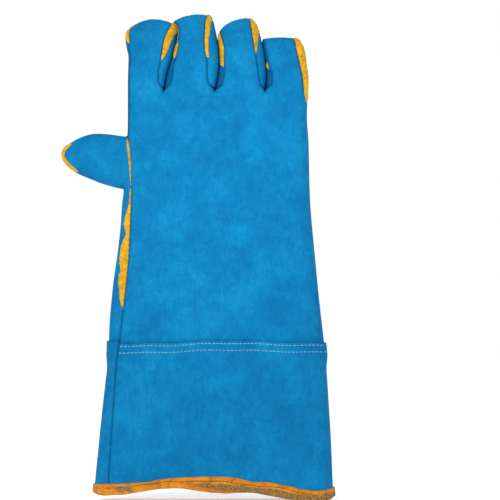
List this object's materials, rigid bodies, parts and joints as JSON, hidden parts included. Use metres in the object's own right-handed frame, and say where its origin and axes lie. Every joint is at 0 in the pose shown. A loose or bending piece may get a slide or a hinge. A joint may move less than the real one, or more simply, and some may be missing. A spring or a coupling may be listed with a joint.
{
  "type": "gauntlet welding glove",
  "caption": "Long blue split-leather welding glove for the right hand, with yellow welted seams, a lapped gauntlet cuff and an orange bound hem.",
  "frame": {"origin": "Middle of the glove's footprint, at the height of the hem on which it stands", "axes": "+Z from the hem to the fingertips, -Y the way the back of the hand faces, +Y the palm's side, -X towards the thumb"},
  "size_m": [0.2298, 0.053, 0.4077],
  "materials": {
    "blue_leather": "matt suede",
    "yellow_welt": "smooth satin",
    "orange_binding": "satin",
    "fleece_lining": "napped",
    "canvas_lining": "plain weave",
    "thread": "twisted thread"
  },
  "bodies": {
    "gauntlet": {"gauntlet_back_panel": "blue_leather", "gauntlet_palm_panel": "blue_leather", "gauntlet_lining": "canvas_lining", "hem_binding": "orange_binding", "hem_thread": "thread", "lap_seam_threads": "thread", "wrist_back_panel": "blue_leather", "wrist_palm_panel": "blue_leather", "wrist_side_welt": "yellow_welt"},
    "hand": {"hand_back_panel": "blue_leather", "hand_palm_panel": "blue_leather", "hand_lining": "fleece_lining", "thumb_side_lower_welt": "yellow_welt", "thumb_side_upper_welt": "yellow_welt", "little_side_welt": "yellow_welt", "crotch_index_middle": "blue_leather", "crotch_middle_ring": "blue_leather", "crotch_ring_little": "blue_leather", "thumb_base_back": "blue_leather", "thumb_base_palm": "blue_leather"},
    "thumb": {"thumb_back": "blue_leather", "thumb_palm": "blue_leather", "thumb_tip_welt": "yellow_welt", "thumb_lining": "fleece_lining"},
    "index": {"index_back": "blue_leather", "index_palm": "blue_leather", "index_right_wall": "blue_leather", "index_left_welt": "yellow_welt", "index_right_welt": "yellow_welt", "index_lining": "fleece_lining"},
    "middle": {"middle_back": "blue_leather", "middle_palm": "blue_leather", "middle_left_wall": "blue_leather", "middle_right_wall": "blue_leather", "middle_left_welt": "yellow_welt", "middle_right_welt": "yellow_welt", "middle_lining": "fleece_lining"},
    "ring": {"ring_back": "blue_leather", "ring_palm": "blue_leather", "ring_left_wall": "blue_leather", "ring_right_wall": "blue_leather", "ring_left_welt": "yellow_welt", "ring_right_welt": "yellow_welt", "ring_lining": "fleece_lining"},
    "little": {"little_back": "blue_leather", "little_palm": "blue_leather", "little_left_wall": "blue_leather", "little_left_welt": "yellow_welt", "little_right_welt": "yellow_welt", "little_lining": "fleece_lining"}
  },
  "joints": [
    {"name": "wrist_bend", "type": "hinge", "parent": "gauntlet", "child": "hand", "pos_m": [0.0155, 0, 0.21], "axis": [-1, 0, 0], "range_deg": [-30, 40]},
    {"name": "thumb_bend", "type": "hinge", "parent": "hand", "child": "thumb", "pos_m": [-0.07, 0.005, 0.286], "axis": [0, 0, -1], "range_deg": [-12, 50]},
    {"name": "index_bend", "type": "hinge", "parent": "hand", "child": "index", "pos_m": [-0.043, 0, 0.356], "axis": [-1, 0, 0], "range_deg": [-10, 60]},
    {"name": "middle_bend", "type": "hinge", "parent": "hand", "child": "middle", "pos_m": [-0.0031, 0, 0.356], "axis": [-1, 0, 0], "range_deg": [-10, 60]},
    {"name": "ring_bend", "type": "hinge", "parent": "hand", "child": "ring", "pos_m": [0.03715, 0, 0.356], "axis": [-1, 0, 0], "range_deg": [-10, 60]},
    {"name": "little_bend", "type": "hinge", "parent": "hand", "child": "little", "pos_m": [0.0755, 0, 0.356], "axis": [-1, 0, 0], "range_deg": [-10, 60]}
  ]
}
